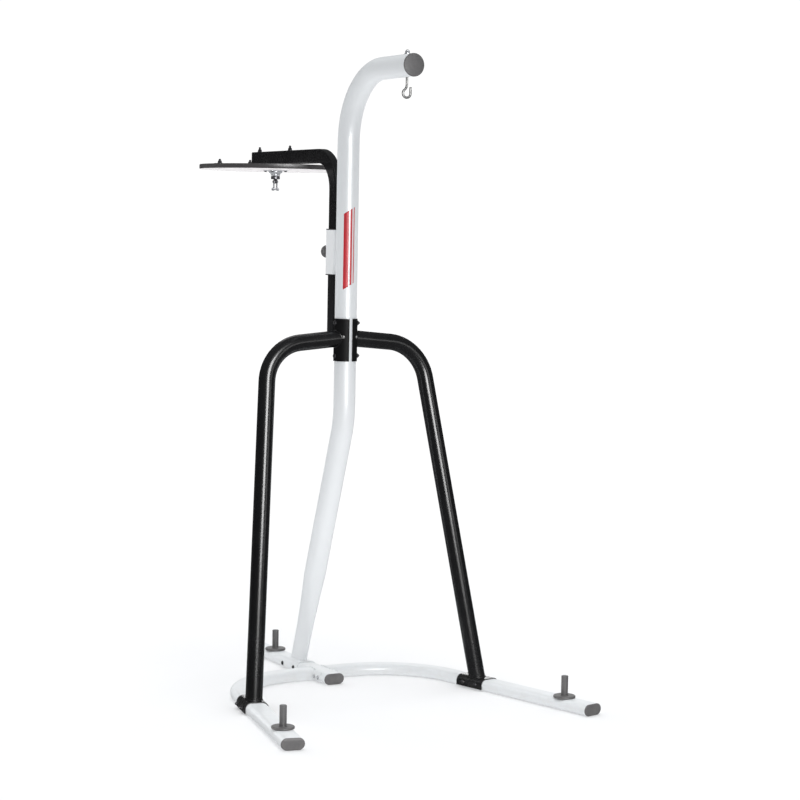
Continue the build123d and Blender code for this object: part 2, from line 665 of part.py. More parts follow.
# ============================================================ board arm =====
TUBE_WALL = 2.0
TUBE_Z0 = 1205.0
TUBE_BEND_R = 118.0
TUBE_END_Y = 737.0
TUBE_AXIS_Z = TUBE_TOP_Z - TUBE_SIZE[1] / 2     # of the level part


def make_board_arm():
    path = rounded_path([(0, TUBE_Y, TUBE_Z0), (0, TUBE_Y, TUBE_AXIS_Z),
                         (0, TUBE_END_Y, TUBE_AXIS_Z)], TUBE_BEND_R)
    arm = tube(path, grown_rect(TUBE_SIZE, 0, 4.0), grown_rect(TUBE_SIZE, -TUBE_WALL, 2.5), RIGHT)
    for y in ARM_BOLT_Y:
        arm -= rod((0, y, TUBE_TOP_Z - TUBE_SIZE[1] - 20), UP, BOLT_HOLE_R, 120)
    return arm


def arm_plug(point, outward):
    return plane_at(point, outward, RIGHT) * end_plug(
        grown_rect(TUBE_SIZE, 0, 4.0), 3.0, 1.2,
        grown_rect(TUBE_SIZE, -TUBE_WALL - PLUG_GAP, 2.4),
        grown_rect(TUBE_SIZE, -TUBE_WALL - 2.5, 1.0), depth=16)


save("speed_arm", make_board_arm())
save("speed_arm_plugs", arm_plug((0, TUBE_Y, TUBE_Z0 - GAP), DOWN),
     arm_plug((0, TUBE_END_Y + GAP, TUBE_AXIS_Z), BACK))

# ================================================================ board =====
STRAP_T = 3.3
STRAP_W = 40.0
STRAP_Z = BOARD_Z1 + GAP
BOARD_WASHER_T = 1.6
SWIVEL_SCREW_REACH = 27.5     # of the plate's four screws, in X and Y
SWIVEL_SCREWS_AT = [(side * SWIVEL_SCREW_REACH, BOARD_Y + end * SWIVEL_SCREW_REACH)
                    for side in SIDES for end in (-1, 1)]


def make_board_bracket():
    """Two crossed straps with round ends on top of the board."""
    arm_mid_y = (ARM_BOLT_Y[0] + ARM_BOLT_Y[1]) / 2
    cross_slot = SlotOverall(2 * BOARD_BOLT_X[1] + STRAP_W, STRAP_W)
    long_slot = SlotOverall(ARM_BOLT_Y[1] - ARM_BOLT_Y[0] + STRAP_W, STRAP_W)
    bracket = Pos(0, STRAP_Y, STRAP_Z) * extrude(cross_slot, STRAP_T)
    bracket += Pos(0, arm_mid_y, STRAP_Z) * extrude(Rot(0, 0, 90) * long_slot, STRAP_T)
    for x, y in ARM_BOLTS_AT + BOARD_BOLTS_AT:
        bracket -= Pos(x, y, STRAP_Z) * Cylinder(BOLT_HOLE_R, 20)
    return bracket


def make_board():
    board = Pos(0, BOARD_Y, BOARD_Z0) * cylinder_up(BOARD_R, BOARD_T)
    for x, y in ARM_BOLTS_AT + BOARD_BOLTS_AT:
        board -= countersink((x, y, BOARD_Z0), BOARD_T + 5)
    for x, y in SWIVEL_SCREWS_AT:
        board -= Pos(x, y, BOARD_Z0 - 1) * cylinder_up(2.5, 14.5)
    return board


def make_edging():
    """Thin band around the board's rim, bulging at mid height."""
    return Pos(0, BOARD_Y, BOARD_Z0) * lathe(
        (BOARD_R + GAP, -0.2), (BOARD_R + 1.2, -0.2),
        (BOARD_R + 2.1, BOARD_T / 2, BOARD_R + 1.2, BOARD_T + 0.2), (BOARD_R + GAP, BOARD_T + 0.2))


def save_board_bolts(prefix, places, seat_z, length):
    """Bolts up through the board, with washers and nuts on top at seat_z."""
    nut_z = seat_z + BOARD_WASHER_T + 2 * GAP
    save(prefix + "_bolts", *[flat_bolt((x, y, BOARD_Z0), length) for x, y in places])
    save(prefix + "_washers", *[washer((x, y, seat_z + GAP), 9.0, BOARD_WASHER_T)
                                for x, y in places])
    save(prefix + "_nuts", *[nut((x, y, nut_z), UP, flats=14.0, height=8.0) for x, y in places])


save("board_bracket", make_board_bracket())
save("platform_board", make_board())
save("board_edging", make_edging())
save_board_bolts("arm", ARM_BOLTS_AT, TUBE_TOP_Z, TUBE_TOP_Z - BOARD_Z0 + 18.0)
save_board_bolts("board", BOARD_BOLTS_AT, STRAP_Z + STRAP_T, BOARD_T + 19.0)

# ============================================================== swivel ======
PLATE_SIZE, PLATE_T = 74, 2.6
SWIVEL_Z = BOARD_Z0 - PLATE_T - 2 * GAP
HOUSING_LEN = 17.0
STEM_R = 7.0                  # spindle's neck through the housing
PIVOT_DROP = HOUSING_LEN + 22.0   # hanger pivot below the plate
TONGUE_T = 9.0
HANGER_PIN_R = 3.0
CHEEK_T = 2.4
CHEEK_DROP = 27.5             # from the pivot to the spool


def hanging_frame(drop=0.0):
    """Frame this far below the plate, its +Z pointing down."""
    return plane_at((0, BOARD_Y, SWIVEL_Z - drop), DOWN, RIGHT)


def cross_pin(radius, length, x=0.0):
    """Cylinder along local X, centred at x."""
    return Pos(x, 0, 0) * (Rot(0, 90, 0) * Cylinder(radius, length))


def make_swivel_plate():
    plate = Pos(0, BOARD_Y, BOARD_Z0 - GAP - PLATE_T) * extrude(
        RectangleRounded(PLATE_SIZE, PLATE_SIZE, 12), PLATE_T)
    for x, y in SWIVEL_SCREWS_AT:
        plate -= Pos(x, y, BOARD_Z0) * Cylinder(2.6, 20)
    return plate


def swivel_screw(x, y):
    head = lathe((0, 0), (5.4, 0), (5.4, 0.8), (3.6, 2.8, 0.5, 3.6), (0, 3.6))
    shank = Pos(0, 0, -15) * lathe((0, 0), (1.2, 0), (2.35, 4.0), (2.35, 15.2), (0, 15.2))
    return plane_at((x, y, SWIVEL_Z), DOWN) * (head + shank)


def make_housing():
    """Bell with a chamber for the spindle's head; heights run down from the plate."""
    return hanging_frame() * lathe(
        (13.0, 0), (25.0, 0), (25.0, 1.6), (24.2, 5.5, 19.5, 9.0),
        (17.6, 12.0, 17.2, HOUSING_LEN - 1.0), (16.2, HOUSING_LEN), (STEM_R + 0.1, HOUSING_LEN),
        (STEM_R + 0.1, 11.0), (13.0, 11.0))


def make_spindle():
    end = HOUSING_LEN
    spindle = lathe(
        (0, 4.0), (12.4, 4.0), (12.4, 10.9), (STEM_R, 10.9), (STEM_R, end + 1.2),
        (15.0, end + 1.2), (16.4, end + 2.0, 16.5, end + 3.4), (16.5, end + 11.0),
        (16.2, end + 12.4, 15.0, end + 13.0), (0, end + 13.0))
    tongue = Pos(0, 0, end + 12.0) * Box(
        TONGUE_T, 13.0, 10.0, align=(Align.CENTER, Align.CENTER, Align.MIN))
    tongue += Pos(0, 0, PIVOT_DROP) * cross_pin(6.5, TONGUE_T)
    tongue -= Pos(0, 0, PIVOT_DROP) * cross_pin(HANGER_PIN_R + 0.08, 60)
    return hanging_frame() * (spindle + tongue)


def make_cheek():
    """One side plate of the U-shaped hanger, in the pivot's frame."""
    outline = Plane.YZ * (Circle(6.0) + Pos(0, CHEEK_DROP) * Circle(5.2)
                          + Pos(0, CHEEK_DROP / 2) * Rectangle(8.6, CHEEK_DROP))
    cheek = Pos(TONGUE_T / 2 + 0.35, 0, 0) * extrude(outline, CHEEK_T)
    cheek -= cross_pin(HANGER_PIN_R + 0.04, 60)
    cheek -= Pos(0, 0, CHEEK_DROP) * cross_pin(HANGER_PIN_R + 0.04, 60)
    return cheek


def headed_pin(length, head_x, head_r, head_len):
    """Pin along local X with a round collar at head_x on each side."""
    pin = cross_pin(HANGER_PIN_R, length)
    for side in SIDES:
        pin += cross_pin(head_r, head_len, side * head_x)
    return pin


pivot_frame = hanging_frame(PIVOT_DROP)
cheek = make_cheek()
pivot_pin = headed_pin(21.0, head_x=8.4, head_r=4.6, head_len=1.9)
spool = headed_pin(26.0, head_x=10.2, head_r=5.6, head_len=5.4)
save("swivel_plate", make_swivel_plate())
save("swivel_screws", *[swivel_screw(x, y) for x, y in SWIVEL_SCREWS_AT])
save("swivel_housing", make_housing())
save("swivel_spindle", make_spindle())
save("hanger_cheeks", pivot_frame * cheek, pivot_frame * mirror_x(cheek))
save("hanger_pivot_pin", pivot_frame * pivot_pin)
save("hanger_spool", pivot_frame * (Pos(0, 0, CHEEK_DROP) * spool))
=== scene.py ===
"""A floor stand with a board on an arm, dressed in a white studio.

Metres, +Z up, floor at z = 0, and -Y is the front. The stand is symmetric in
X, with its left side at -X. The upright post runs along Z at x = 0,
y = POST_Y, and the arm carries the board on the post's +Y side. The script
gives the CAD pieces their materials, adds weld beads, bolt threads and vinyl
stripes, then sets up the floor, world, lights and camera.
"""
import bpy
import bmesh
import math
from mathutils import Vector, Matrix
from mathutils.bvhtree import BVHTree


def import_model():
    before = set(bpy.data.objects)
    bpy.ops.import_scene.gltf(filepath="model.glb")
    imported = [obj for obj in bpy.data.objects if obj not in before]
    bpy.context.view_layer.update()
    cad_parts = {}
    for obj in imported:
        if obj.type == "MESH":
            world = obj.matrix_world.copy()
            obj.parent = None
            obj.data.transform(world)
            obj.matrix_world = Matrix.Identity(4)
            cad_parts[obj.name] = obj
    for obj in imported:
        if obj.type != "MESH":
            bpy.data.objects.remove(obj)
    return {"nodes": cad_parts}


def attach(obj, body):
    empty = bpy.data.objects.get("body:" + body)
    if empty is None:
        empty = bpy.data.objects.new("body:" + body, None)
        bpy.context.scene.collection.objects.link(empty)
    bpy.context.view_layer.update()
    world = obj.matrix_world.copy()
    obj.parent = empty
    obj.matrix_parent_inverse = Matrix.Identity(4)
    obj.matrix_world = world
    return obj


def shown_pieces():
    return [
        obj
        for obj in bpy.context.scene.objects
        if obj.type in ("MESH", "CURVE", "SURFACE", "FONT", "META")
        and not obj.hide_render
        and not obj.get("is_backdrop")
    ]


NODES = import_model()["nodes"]
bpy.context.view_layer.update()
SCENE = bpy.context.scene

POST_Y = -0.162
POST_RADIUS = 0.0381
MATS = {}                      # every material made here, by its plain name


# ============================================================ node helpers ==
class Nodes:
    """A node tree with short calls for the nodes it is made of."""

    def __init__(self, tree):
        self.tree = tree
        tree.nodes.clear()

    def new(self, kind, inputs=None, **props):
        node = self.tree.nodes.new(kind)
        for key, value in props.items():
            setattr(node, key, value)
        for key, value in (inputs or {}).items():
            self.put(node.inputs[key], value)
        return node

    def link(self, source, socket):
        self.tree.links.new(source, socket)

    def put(self, socket, value):
        """Links a socket, or sets a plain value; colours are RGB triples."""
        if isinstance(value, bpy.types.NodeSocket):
            self.link(value, socket)
        elif socket.type == "RGBA":
            socket.default_value = (*value, 1)
        else:
            socket.default_value = value

    def map_range(self, value, low, high, to_low=0.0, to_high=1.0, **props):
        limits = {"Value": value, "From Min": low, "From Max": high,
                  "To Min": to_low, "To Max": to_high}
        return self.new("ShaderNodeMapRange", limits, **props).outputs["Result"]

    def mix_shader(self, factor, first, second):
        return self.new("ShaderNodeMixShader", {0: factor, 1: first, 2: second}).outputs[0]


class Mat(Nodes):
    """A material round one Principled shader, textured in object space."""

    def __init__(self, name):
        material = bpy.data.materials.new(name)
        material.use_nodes = True
        super().__init__(material.node_tree)
        self.out = self.new("ShaderNodeOutputMaterial")
        self.bsdf = self.new("ShaderNodeBsdfPrincipled")
        self.link(self.bsdf.outputs[0], self.out.inputs[0])
        self.place = self.new("ShaderNodeTexCoord").outputs["Object"]
        MATS[name] = material

    def set(self, name, value):
        self.put(self.bsdf.inputs[name], value)

    def stretched(self, x, y, z):
        return self.new("ShaderNodeMapping", {0: self.place, "Scale": (x, y, z)}).outputs[0]

    def noise(self, scale, detail=2.0, rough=0.5, distort=0.0, vector=None):
        return self.new("ShaderNodeTexNoise", {
            "Vector": vector or self.place, "Scale": scale, "Detail": detail,
            "Roughness": rough, "Distortion": distort}).outputs["Fac"]

    def cells(self, scale, out="Distance"):
        inputs = {"Vector": self.place, "Scale": scale}
        return self.new("ShaderNodeTexVoronoi", inputs).outputs[out]

    def ramp(self, factor, *stops):
        """stops are (position, grey value)."""
        node = self.new("ShaderNodeValToRGB", {0: factor})
        elements = node.color_ramp.elements
        while len(elements) < len(stops):
            elements.new(0.5)
        for element, (position, grey) in zip(elements, stops):
            element.position = position
            element.color = (grey, grey, grey, 1)
        return node.outputs[0]

    def patches(self, start, end, **noise):
        """Noise turned into a mask: 0 under start, 1 over end."""
        return self.ramp(self.noise(**noise), (start, 0.0), (end, 1.0))

    def math(self, operation, a, b, clamp=False):
        inputs = {0: a, 1: b}
        return self.new("ShaderNodeMath", inputs, operation=operation,
                        use_clamp=clamp).outputs[0]

    def times(self, a, b, clamp=False):
        return self.math("MULTIPLY", a, b, clamp)

    def plus(self, a, b, clamp=False):
        return self.math("ADD", a, b, clamp)

    def mix(self, factor, a, b, kind="RGBA"):
        inputs = {"Factor": factor, "A": a, "B": b}
        return self.new("ShaderNodeMix", inputs, data_type=kind).outputs["Result"]

    def mixf(self, factor, low, high):
        return self.mix(factor, low, high, kind="FLOAT")

    def tint(self, under, mask, over, amount):
        """Lays a colour over another where the mask is white."""
        return self.mix(self.times(mask, amount), under, over)

    def below(self, top):
        """1 at the floor, falling to 0 at the height top."""
        split = self.new("ShaderNodeSeparateXYZ", {0: self.place})
        return self.map_range(split.outputs["Z"], 0.0, top, to_low=1.0, to_high=0.0)

    def rounded(self, radius):
        return self.new("ShaderNodeBevel", {"Radius": radius}, samples=4).outputs["Normal"]

    def edge_mask(self, bevel_normal, sharp):
        """White where the rounded normal leaves the true one."""
        true_normal = self.new("ShaderNodeNewGeometry").outputs["Normal"]
        dot = self.new("ShaderNodeVectorMath", {0: bevel_normal, 1: true_normal},
                       operation="DOT_PRODUCT")
        bend = self.math("SUBTRACT", 1.0, dot.outputs["Value"])
        return self.times(bend, sharp, clamp=True)

    def bump(self, height, distance, strength, normal=None):
        inputs = {"Strength": strength, "Distance": distance, "Height": height}
        if normal is not None:
            inputs["Normal"] = normal
        return self.new("ShaderNodeBump", inputs).outputs["Normal"]


# =============================================================== materials ==
def powder_coat(name, base, shade, rough, scuff, dirt, peel=0.00006, coat=0.12,
                wear=None, shine=0.5):
    """Sprayed and baked powder coat: fine orange peel, faint tone drift,
    hairline scuffs, thin coat on the edges and dust close to the floor."""
    m = Mat(name)
    drift = m.patches(start=0.32, end=0.7, scale=2.7, detail=3, rough=0.55)
    cloud = m.patches(start=0.4, end=0.75, scale=19.0, detail=4, rough=0.6, distort=0.3)
    colour = m.mix(drift, base, shade)
    colour = m.tint(colour, cloud, scuff, amount=0.10)
    # hairline scuffs, longer along the height than across
    lines = m.noise(scale=60.0, detail=5, rough=0.7, distort=0.6,
                    vector=m.stretched(x=6.0, y=6.0, z=0.55))
    lines = m.ramp(lines, (0.60, 0.0), (0.635, 1.0), (0.65, 0.0))
    scratch = m.times(lines, m.patches(start=0.52, end=0.66, scale=7.0))
    colour = m.tint(colour, scratch, scuff, amount=0.35)
    # dust and grime low down
    low = m.times(m.below(top=0.075),
                  m.patches(start=0.4, end=0.72, scale=34.0, detail=5, rough=0.65))
    colour = m.tint(colour, low, dirt, amount=0.42)
    soft = m.rounded(radius=0.0009)
    edge = m.times(m.edge_mask(soft, sharp=2.2),
                   m.patches(start=0.45, end=0.62, scale=95.0, detail=3, rough=0.6))
    colour = m.tint(colour, edge, wear or scuff, amount=0.5)
    m.set("Base Color", colour)
    sheen = m.mixf(m.patches(start=0.3, end=0.7, scale=11.0, detail=4, rough=0.6),
                   low=rough - 0.025, high=rough + 0.035)
    sheen = m.plus(sheen, m.times(scratch, 0.12), clamp=True)
    m.set("Roughness", m.plus(sheen, m.times(low, 0.2), clamp=True))
    m.set("Specular IOR Level", shine)
    m.set("Coat Weight", coat)
    m.set("Coat Roughness", 0.09)
    m.set("Coat IOR", 1.5)
    # orange peel: a fine and a coarser wave, the coarser one weaker
    waves = m.plus(m.noise(scale=620.0), m.times(m.noise(scale=170.0), 0.9))
    normal = m.bump(waves, distance=peel, strength=1.0, normal=soft)
    m.set("Normal", m.bump(scratch, distance=0.00004, strength=0.6, normal=normal))


def moulded(name, base, shade, rough, scuff):
    """Injection-moulded plastic with a fine spark grain and rubbed edges."""
    grain = 900.0
    m = Mat(name)
    soft = m.rounded(radius=0.0006)
    tone = m.patches(start=0.35, end=0.7, scale=22.0, detail=4, rough=0.6)
    colour = m.mix(tone, base, shade)
    speck = m.patches(start=0.58, end=0.7, scale=1400.0, detail=1)
    colour = m.tint(colour, speck, scuff, amount=0.25)
    edge = m.times(m.edge_mask(soft, sharp=2.5),
                   m.patches(start=0.42, end=0.6, scale=120.0, detail=3, rough=0.6))
    colour = m.tint(colour, edge, scuff, amount=0.45)
    low = m.times(m.below(top=0.05),
                  m.patches(start=0.42, end=0.7, scale=40.0, detail=4, rough=0.6))
    colour = m.tint(colour, low, GREY_DIRT, amount=0.3)
    m.set("Base Color", colour)
    m.set("Roughness", m.mixf(m.noise(scale=45.0, detail=4, rough=0.6),
                              low=rough - 0.08, high=rough + 0.1))
    m.set("Specular IOR Level", 0.45)
    height = m.plus(m.noise(scale=grain, detail=3, rough=0.6), m.cells(scale=grain * 0.7))
    m.set("Normal", m.bump(height, distance=0.00012, strength=0.8, normal=soft))


def plated(name, base, shade, rough, spangle=260.0, stain=(0.30, 0.27, 0.23),
           metallic=1.0):
    """Zinc or steel: crystalline tone change, brushed lines, light tarnish."""
    m = Mat(name)
    soft = m.rounded(radius=0.0005)
    crystals = m.new("ShaderNodeRGBToBW", {0: m.cells(scale=spangle, out="Color")}).outputs[0]
    tone = m.mixf(0.45, m.noise(scale=80.0, detail=4, rough=0.6), crystals)
    colour = m.mix(m.ramp(tone, (0.3, 0.0), (0.72, 1.0)), base, shade)
    tarnish = m.patches(start=0.55, end=0.72, scale=38.0, detail=6, rough=0.65, distort=0.4)
    m.set("Base Color", m.tint(colour, tarnish, stain, amount=0.4))
    m.set("Metallic", metallic)
    sheen = m.mixf(tone, low=rough - 0.07, high=rough + 0.12)
    m.set("Roughness", m.plus(sheen, m.times(tarnish, 0.15), clamp=True))
    brushed = m.noise(scale=500.0, detail=3, rough=0.6,
                      vector=m.stretched(x=1.0, y=1.0, z=0.18))
    m.set("Normal", m.bump(brushed, distance=0.00005, strength=0.7, normal=soft))


def laminate(name):
    """White melamine-faced board: faint pink cast, print speckle, soft cloud."""
    m = Mat(name)
    cloud = m.patches(start=0.3, end=0.72, scale=5.5, detail=4, rough=0.55, distort=0.4)
    colour = m.mix(cloud, (0.835, 0.805, 0.812), (0.79, 0.762, 0.77))
    speck = m.patches(start=0.6, end=0.72, scale=1250.0, rough=0.6)
    colour = m.tint(colour, speck, (0.52, 0.49, 0.49), amount=0.16)
    # rub marks, kept to a few areas
    rub = m.patches(start=0.57, end=0.66, scale=48.0, detail=5, rough=0.7, distort=1.2)
    mark = m.times(rub, m.patches(start=0.5, end=0.66, scale=3.3))
    m.set("Base Color", m.tint(colour, mark, (0.42, 0.40, 0.40), amount=0.14))
    sheen = m.mixf(m.noise(scale=14.0, detail=4, rough=0.6), low=0.34, high=0.46)
    m.set("Roughness", m.plus(sheen, m.times(mark, 0.2), clamp=True))
    height = m.plus(m.noise(scale=760.0, detail=3, rough=0.6),
                    m.times(m.noise(scale=120.0), 0.4))
    m.set("Normal", m.bump(height, distance=0.00005, strength=0.8))


def vinyl(name):
    """Plain red vinyl film."""
    m = Mat(name)
    tone = m.patches(start=0.35, end=0.7, scale=30.0, detail=4, rough=0.6)
    colour = m.mix(tone, (0.60, 0.010, 0.022), (0.50, 0.007, 0.017))
    speck = m.patches(start=0.6, end=0.72, scale=900.0, rough=0.6)
    m.set("Base Color", m.tint(colour, speck, (0.70, 0.06, 0.07), amount=0.2))
    m.set("Roughness", m.mixf(m.noise(scale=60.0, detail=4, rough=0.6), low=0.30, high=0.44))
    height = m.noise(scale=700.0, detail=3, rough=0.6)
    m.set("Normal", m.bump(height, distance=0.00004, strength=0.7))


GREY_DIRT = (0.30, 0.285, 0.26)
BLACK_DIRT = (0.075, 0.070, 0.064)

powder_coat("white_coat", base=(0.82, 0.84, 0.855), shade=(0.795, 0.818, 0.833), rough=0.38,
            scuff=(0.72, 0.735, 0.75), dirt=(0.70, 0.69, 0.665), shine=0.72)
powder_coat("black_coat", base=(0.0048, 0.0048, 0.0053), shade=(0.0075, 0.0075, 0.0085),
            rough=0.25, scuff=(0.026, 0.026, 0.028), dirt=BLACK_DIRT, peel=0.000028,
            wear=(0.07, 0.07, 0.073))
powder_coat("grey_coat", base=(0.105, 0.102, 0.104), shade=(0.125, 0.122, 0.124), rough=0.42,
            scuff=(0.20, 0.195, 0.195), dirt=GREY_DIRT, wear=(0.32, 0.31, 0.31))
moulded("grey_plastic", base=(0.118, 0.114, 0.116), shade=(0.142, 0.138, 0.140), rough=0.52,
        scuff=(0.24, 0.235, 0.235))
moulded("black_plastic", base=(0.022, 0.021, 0.0215), shade=(0.032, 0.031, 0.0315),
        rough=0.45, scuff=(0.09, 0.088, 0.088))
plated("black_fastener", base=(0.062, 0.062, 0.066), shade=(0.095, 0.094, 0.098), rough=0.32,
       spangle=420.0, stain=(0.085, 0.070, 0.058), metallic=0.75)
plated("zinc_plate", base=(0.80, 0.81, 0.83), shade=(0.60, 0.62, 0.65), rough=0.24,
       metallic=0.55)
plated("hook_zinc", base=(0.33, 0.33, 0.325), shade=(0.22, 0.22, 0.22), rough=0.42,
       metallic=0.75)
powder_coat("clamp_black", base=(0.0052, 0.0052, 0.0056), shade=(0.0085, 0.0085, 0.009),
            rough=0.46, scuff=(0.024, 0.024, 0.026), dirt=BLACK_DIRT, peel=0.0001, coat=0.0,
            wear=(0.10, 0.10, 0.105), shine=0.14)
# the board's black edging with its base colour raised to a grey: painted light, standing in
# for the light reflected along the rim
moulded("edging_plastic", base=(0.066, 0.062, 0.063), shade=(0.086, 0.081, 0.082),
        rough=0.36, scuff=(0.15, 0.145, 0.145))
# a lit copy of the white coat for the arm sleeve: its higher base colour is painted light,
# standing in for the brighter light the sleeve catches
powder_coat("sleeve_white", base=(0.90, 0.915, 0.925), shade=(0.87, 0.885, 0.90), rough=0.34,
            scuff=(0.76, 0.775, 0.79), dirt=(0.62, 0.605, 0.57), coat=0.15)
plated("dark_steel", base=(0.20, 0.20, 0.21), shade=(0.13, 0.13, 0.14), rough=0.32,
       spangle=360.0, stain=(0.16, 0.13, 0.10))
laminate("board_laminate")

# pieces whose material differs from the one their slot names; the sleeve's and the board
# edging's copies carry painted light in their base colour
SPECIAL = {"hook_bolt": "hook_zinc", "clamp_side_screws": "hook_zinc",
           "clamp_shell_left": "clamp_black", "clamp_shell_right": "clamp_black",
           "board_edging": "edging_plastic", "arm_sleeve": "sleeve_white"}


def plain_name(slot):
    """The slot's material name without a numbered ending."""
    return slot.material.name.split(".")[0]


def dress_pieces():
    for name, ob in NODES.items():
        slot_name = plain_name(ob.material_slots[0]) if ob.material_slots else ""
        if slot_name not in MATS:
            slot_name = "white_coat"
        for slot in ob.material_slots:
            slot.material = MATS[SPECIAL.get(name, slot_name)]


dress_pieces()


# ============================================================ mesh helpers ==
def add_object(name, data):
    ob = bpy.data.objects.new(name, data)
    SCENE.collection.objects.link(ob)
    return ob


def add_mesh(name, bm):
    mesh = bpy.data.meshes.new(name)
    bm.to_mesh(mesh)
    bm.free()
    return add_object(name, mesh)


def add_piece(name, bm, mat, body, smooth=True):
    """Adds a mesh that moves with a body of the product."""
    bmesh.ops.recalc_face_normals(bm, faces=bm.faces)
    ob = add_mesh(name, bm)
    for face in ob.data.polygons:
        face.use_smooth = smooth
    ob.data.materials.append(MATS[mat])
    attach(ob, body)


def circle(count):
    """Evenly spaced angles once round."""
    return [2 * math.pi * i / count for i in range(count)]


def skin(bm, rings, closed=False):
    """Joins rings into a tube, capping its ends unless it closes on itself."""
    following = rings[1:] + (rings[:1] if closed else [])
    for a, b in zip(rings, following):
        for k in range(len(a)):
            after = (k + 1) % len(a)
            bm.faces.new((a[k], a[after], b[after], b[k]))
    if not closed:
        bm.faces.new(rings[0][::-1])
        bm.faces.new(rings[-1])


# =================================================================== welds ==
RIPPLE_PITCH = 0.0026
BEAD_STEP = 0.00085            # spacing of a bead's rings
BEAD_SIDES = 10
RAY_REACH = 0.5
RAY_BACKSET = 0.12             # rays start this far up the tube from its foot
LEG_OUTLINE = 0.0287           # radius of a leg's outline


def surface(*names):
    """One search tree over the named pieces' surfaces."""
    verts, faces = [], []
    for name in names:
        mesh = NODES[name].data
        base = len(verts)
        verts += [v.co.copy() for v in mesh.vertices]
        faces += [tuple(i + base for i in p.vertices) for p in mesh.polygons]
    return BVHTree.FromPolygons(verts, faces)


def trace(tree, starts, direction):
    """Where rays from (point, outward) on a tube's outline first meet a
    surface: a list of (point, lean), the lean pointing out of the corner."""
    direction = Vector(direction).normalized()
    path = []
    for start, outward in starts:
        point, normal = tree.ray_cast(start, direction, RAY_REACH)[:2]
        if point is None:
            continue
        if normal.dot(direction) >= 0:
            normal = -normal
        path.append((point, (normal + outward).normalized()))
    return path


def ripple(i, salt):
    """A repeatable small number between -1 and 1."""
    x = math.sin(i * 12.9898 + salt * 78.233) * 43758.5453
    return 2.0 * (x - math.floor(x)) - 1.0


def finely(path, closed):
    """Splits a path into (point, lean, distance run); also its length."""
    fine, run = [], 0.0
    following = path[1:] + (path[:1] if closed else [])
    for (point, lean), (next_point, next_lean) in zip(path, following):
        length = (next_point - point).length
        count = max(1, int(round(length / BEAD_STEP)))
        for j in range(count):
            f = j / count
            fine.append((point.lerp(next_point, f), lean.lerp(next_lean, f).normalized(),
                         run + length * f))
        run += length
    if not closed:
        fine.append((*path[-1], run))
    return fine, run


def bead(bm, path, radius, closed, salt):
    """A rippled weld bead along a path of (point, lean)."""
    fine, run = finely(path, closed)
    pitch = RIPPLE_PITCH
    if closed:
        pitch = run / max(1, round(run / pitch))
    last, rings = len(fine) - 1, []
    for i, (point, lean, s) in enumerate(fine):
        before = fine[i - 1][0] if (closed or i > 0) else point
        after = fine[(i + 1) % len(fine)][0] if (closed or i < last) else point
        along = (after - before).normalized()
        side = along.cross(lean).normalized()
        up = side.cross(along)
        phase = (s / pitch) % 1.0
        wobble = 0.05 * math.sin(s * 310.0 + salt) + 0.03 * ripple(int(s / pitch), salt)
        r = radius * (0.88 + 0.14 * math.sin(math.pi * phase) ** 0.7 + wobble)
        if not closed:         # taper to the nearer end
            r *= min(1.0, 0.35 + 0.65 * (min(s, run - s) / (radius * 1.6)))
        ring = []
        for a in circle(BEAD_SIDES):
            across, lift = math.cos(a), math.sin(a)
            # the upper half trails, so each ripple bows
            trail = -0.25 * radius * (1.0 - abs(across)) if lift > 0 else 0.0
            ring.append(bm.verts.new(point + side * (across * r * 1.12)
                                     + up * (lift * r * 0.78) + along * trail))
        rings.append(ring)
    skin(bm, rings, closed)


def bead_pair(bm, path, radius, closed, salt):
    """A bead on the left side and its mirror image in X on the right."""
    bead(bm, path, radius, closed, salt)
    mirrored = [(Vector((-p.x, p.y, p.z)), Vector((-u.x, u.y, u.z))) for p, u in path]
    bead(bm, mirrored, radius, closed, salt + 1)


def leg_top_welds():
    """Where the bent legs meet the round clamp shells."""
    shell_radius = 0.0412
    along = Vector((-0.296, 0.0, -0.0265)).normalized()
    u, v = Vector((0, 1, 0)), Vector((-along.z, 0, along.x))
    path = []
    for a in circle(72):
        out = u * math.cos(a) + v * math.sin(a)
        start = Vector((0, POST_Y, 1.225)) + out * LEG_OUTLINE
        y = start.y - POST_Y
        x = -math.sqrt(shell_radius * shell_radius - y * y)
        point = start + along * ((x - start.x) / along.x)
        normal = Vector((point.x, point.y - POST_Y, 0)).normalized()
        path.append((point, (out + normal).normalized()))
    bm = bmesh.new()
    bead_pair(bm, path, radius=0.0027, closed=True, salt=1.0)
    add_piece("leg_top_welds", bm, "black_coat", "stand")


def leg_foot_welds():
    """Where the legs meet their saddles."""
    foot = Vector((-0.434, -0.2104 + POST_Y, 0.041))
    down = Vector((-0.1167, -0.1818, -1.0)).normalized()
    u = down.cross(Vector((0, 1, 0))).normalized()
    v = down.cross(u)
    starts = []
    for a in circle(72):
        out = u * math.cos(a) + v * math.sin(a)
        starts.append((foot + out * LEG_OUTLINE - down * RAY_BACKSET, out))
    path = trace(surface("left_leg_saddle"), starts, down)
    bm = bmesh.new()
    bead_pair(bm, path, radius=0.0027, closed=True, salt=3.0)
    add_piece("leg_foot_welds", bm, "black_coat", "stand")


def post_foot_weld():
    """Round the slanted oval foot of the post, on its saddle and tail tube."""
    half_x, half_w = 0.0151, 0.0511
    foot = Vector((0, 0.3184 + POST_Y, 0.0414))
    down = Vector((0, 0.3345, -0.9424)).normalized()
    u = Vector((1, 0, 0))
    w = u.cross(down).normalized()
    starts = []
    for a in circle(96):
        c, s = math.cos(a), math.sin(a)
        out = (u * (c / half_x) + w * (s / half_w)).normalized()
        starts.append((foot + u * (c * half_x) + w * (s * half_w) - down * RAY_BACKSET, out))
    path = trace(surface("post_foot_saddle", "tail_tube"), starts, down)
    bm = bmesh.new()
    bead(bm, path, radius=0.0025, closed=True, salt=5.0)
    add_piece("post_foot_weld", bm, "white_coat", "stand")


